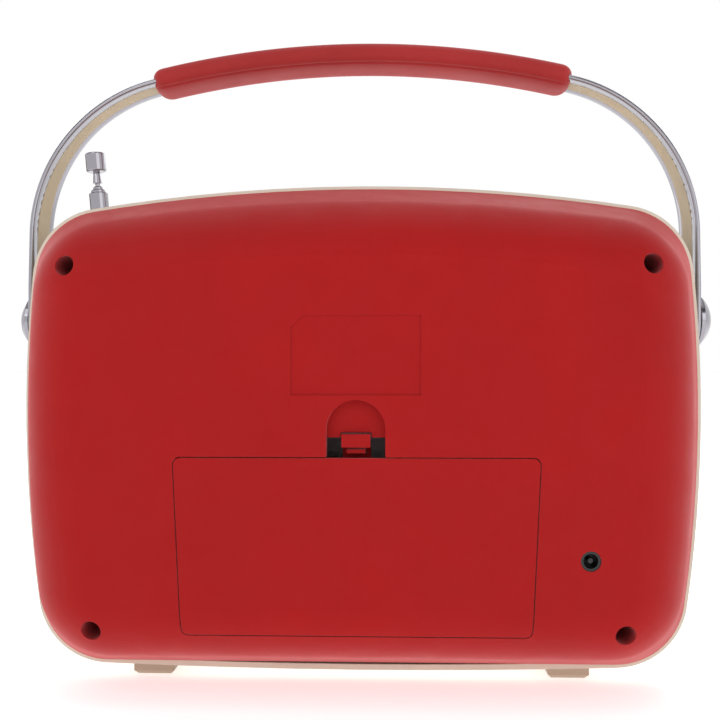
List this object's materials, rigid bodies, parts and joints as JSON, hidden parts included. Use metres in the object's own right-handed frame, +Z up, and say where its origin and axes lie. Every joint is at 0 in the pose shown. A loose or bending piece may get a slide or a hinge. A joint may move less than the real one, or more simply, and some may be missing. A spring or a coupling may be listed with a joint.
{
  "type": "portable radio cassette player",
  "caption": "Portable radio cassette player with a domed two-part case, swinging carrying handle, battery door, tape deck and telescopic antenna.",
  "frame": {"origin": "middle of the case on the surface that its feet stand on", "axes": "+Z up, the front faces -Y, +X to the right of someone facing the front"},
  "size_m": [0.3056, 0.106, 0.2718],
  "materials": {
    "red_plastic": "fine matt moulded texture",
    "cream_plastic": "satin moulded",
    "foot_plastic": "matt",
    "red_rubber": "soft matt",
    "chrome": "polished",
    "liner": "matt",
    "steel": "zinc plated",
    "black_plastic": "gloss",
    "dark_plastic": "matt",
    "clear": "clear",
    "silver_mesh": "satin",
    "paper": "pulp",
    "magnet": "sintered",
    "card": "printed scale",
    "pointer": "gloss",
    "key_plastic": "satin",
    "board": "laminate with parts",
    "ferrite": "matt",
    "cell": "metal jacket",
    "brass": "turned",
    "rubber": "matt"
  },
  "bodies": {
    "case": {"rear_shell": "red_plastic", "case_screws": "steel", "batteries": "cell", "battery_contacts": "steel", "dc_jack": "black_plastic", "front_shell": "cream_plastic", "feet": "foot_plastic", "grille_ring": "chrome", "speaker_grille": "silver_mesh", "speaker_basket": "steel", "speaker_cone": "paper", "speaker_magnet": "magnet", "dial_scale": "card", "dial_window": "clear", "volume_pot": "steel", "tuning_gang": "clear", "headphone_jack": "black_plastic", "key_rod": "steel", "door_pins": "steel", "deck_plate": "steel", "motor": "steel", "drive_belt": "rubber", "main_board": "board", "ferrite_rod": "ferrite", "pivot_cap_left": "chrome", "pivot_cap_right": "chrome", "pivot_bolts": "steel", "pivot_washers": "dark_plastic", "antenna_bush": "dark_plastic", "antenna_base_tube": "chrome"},
    "handle": {"handle_band": "chrome", "handle_liner": "liner", "handle_grip": "red_rubber"},
    "battery_cover": {"battery_door": "red_plastic"},
    "latch": {"battery_latch": "red_plastic"},
    "tape_door": {"cassette_door": "cream_plastic", "door_window": "clear"},
    "carriage": {"head_carriage": "steel", "tape_head": "chrome"},
    "roller_arm": {"pinch_arm": "steel"},
    "roller": {"pinch_roller": "rubber"},
    "flywheel_body": {"flywheel": "brass"},
    "pulley": {"motor_pulley": "brass"},
    "idler": {"idler_wheel": "rubber"},
    "takeup": {"takeup_spindle": "dark_plastic"},
    "supply": {"supply_spindle": "dark_plastic"},
    "volume": {"volume_knob": "key_plastic"},
    "tuning": {"tuning_knob": "key_plastic"},
    "pointer": {"dial_pointer": "pointer"},
    "function_switch": {"function_slider": "dark_plastic"},
    "band_switch": {"band_slider": "dark_plastic"},
    "whip_2": {"antenna_tube_2": "chrome"},
    "whip_3": {"antenna_tube_3": "chrome"},
    "whip_4": {"antenna_rod": "chrome", "antenna_tip": "chrome"},
    "key_pause_body": {"key_pause": "key_plastic"},
    "key_stop_body": {"key_stop": "key_plastic"},
    "key_rewind_body": {"key_rewind": "key_plastic"},
    "key_forward_body": {"key_forward": "key_plastic"},
    "key_play_body": {"key_play": "key_plastic"}
  },
  "joints": [
    {"name": "handle_swing", "type": "hinge", "parent": "case", "child": "handle", "pos_m": [0, -0.016, 0.1505], "axis": [1, 0, 0], "range_deg": [-90, 90]},
    {"name": "battery_door_tilt", "type": "hinge", "parent": "case", "child": "battery_cover", "pos_m": [0, 0.0507, 0.0286], "axis": [-1, 0, 0], "range_deg": [0, 70]},
    {"name": "battery_latch_flex", "type": "hinge", "parent": "battery_cover", "child": "latch", "pos_m": [0, 0.038, 0.098], "axis": [-1, 0, 0], "range_deg": [0, 8], "stiffness_Nm_per_rad": 0.05, "springref_deg": -2.86},
    {"name": "cassette_door_swing", "type": "hinge", "parent": "case", "child": "tape_door", "pos_m": [0.051, -0.0365, 0.0656], "axis": [1, 0, 0], "range_deg": [0, 32]},
    {"name": "key_pause_press", "type": "hinge", "parent": "case", "child": "key_pause_body", "pos_m": [0.0067, -0.026, 0.045], "axis": [1, 0, 0], "range_deg": [0, 8], "stiffness_Nm_per_rad": 0.3, "springref_deg": -11.46},
    {"name": "key_stop_press", "type": "hinge", "parent": "case", "child": "key_stop_body", "pos_m": [0.0293, -0.026, 0.045], "axis": [1, 0, 0], "range_deg": [0, 8], "stiffness_Nm_per_rad": 0.3, "springref_deg": -11.46},
    {"name": "key_rewind_press", "type": "hinge", "parent": "case", "child": "key_rewind_body", "pos_m": [0.0519, -0.026, 0.045], "axis": [1, 0, 0], "range_deg": [0, 8], "stiffness_Nm_per_rad": 0.3, "springref_deg": -11.46},
    {"name": "key_forward_press", "type": "hinge", "parent": "case", "child": "key_forward_body", "pos_m": [0.0745, -0.026, 0.045], "axis": [1, 0, 0], "range_deg": [0, 8], "stiffness_Nm_per_rad": 0.3, "springref_deg": -11.46},
    {"name": "key_play_press", "type": "hinge", "parent": "case", "child": "key_play_body", "pos_m": [0.0971, -0.026, 0.045], "axis": [1, 0, 0], "range_deg": [0, 8], "stiffness_Nm_per_rad": 0.3, "springref_deg": -11.46},
    {"name": "head_lift", "type": "slide", "parent": "case", "child": "carriage", "axis": [0, 0, 1], "range_m": [0, 0.0046]},
    {"name": "roller_arm_swing", "type": "hinge", "parent": "case", "child": "roller_arm", "pos_m": [0.092, -0.026, 0.0622], "axis": [0, 1, 0], "range_deg": [0, 15]},
    {"name": "roller_spin", "type": "hinge", "parent": "roller_arm", "child": "roller", "pos_m": [0.0745, -0.028, 0.0622], "axis": [0, 1, 0], "continuous": true},
    {"name": "flywheel_spin", "type": "hinge", "parent": "case", "child": "flywheel_body", "pos_m": [0.0745, -0.01, 0.0745], "axis": [0, 1, 0], "continuous": true},
    {"name": "pulley_spin", "type": "hinge", "parent": "case", "child": "pulley", "pos_m": [0.014, 0, 0.076], "axis": [0, 1, 0], "continuous": true},
    {"name": "idler_spin", "type": "hinge", "parent": "case", "child": "idler", "pos_m": [0.07354, -0.0176, 0.08566], "axis": [0, 1, 0], "continuous": true},
    {"name": "takeup_spin", "type": "hinge", "parent": "case", "child": "takeup", "pos_m": [0.07225, -0.025, 0.1008], "axis": [0, 1, 0], "continuous": true},
    {"name": "supply_spin", "type": "hinge", "parent": "case", "child": "supply", "pos_m": [0.02975, -0.025, 0.1008], "axis": [0, 1, 0], "continuous": true},
    {"name": "volume_turn", "type": "hinge", "parent": "case", "child": "volume", "pos_m": [-0.095, -0.04, 0.166], "axis": [0, -1, 0], "range_deg": [-150, 150]},
    {"name": "tuning_turn", "type": "hinge", "parent": "case", "child": "tuning", "pos_m": [0.095, -0.04, 0.166], "axis": [0, -1, 0], "range_deg": [-540, 540]},
    {"name": "pointer_slide", "type": "slide", "parent": "case", "child": "pointer", "axis": [1, 0, 0], "range_m": [-0.0601, 0.0601]},
    {"name": "function_slide", "type": "slide", "parent": "case", "child": "function_switch", "axis": [1, 0, 0], "range_m": [-0.005, 0.005]},
    {"name": "band_slide", "type": "slide", "parent": "case", "child": "band_switch", "axis": [1, 0, 0], "range_m": [-0.005, 0.005]},
    {"name": "antenna_slide_2", "type": "slide", "parent": "case", "child": "whip_2", "axis": [0.0872, 0, 0.9962], "range_m": [0, 0.095]},
    {"name": "antenna_slide_3", "type": "slide", "parent": "whip_2", "child": "whip_3", "axis": [0.0872, 0, 0.9962], "range_m": [0, 0.095]},
    {"name": "antenna_slide_4", "type": "slide", "parent": "whip_3", "child": "whip_4", "axis": [0.0872, 0, 0.9962], "range_m": [0, 0.095]}
  ],
  "couplings": [
    {"joint": "head_lift", "follows": "key_play_press", "m_per_rad": 0.032229},
    {"joint": "roller_arm_swing", "follows": "key_play_press", "ratio": 1.8625},
    {"joint": "pulley_spin", "follows": "flywheel_spin", "ratio": 5},
    {"joint": "idler_spin", "follows": "flywheel_spin", "ratio": -0.84774},
    {"joint": "takeup_spin", "follows": "flywheel_spin", "ratio": 0.55556},
    {"joint": "pointer_slide", "follows": "tuning_turn", "m_per_rad": 0.00636}
  ]
}
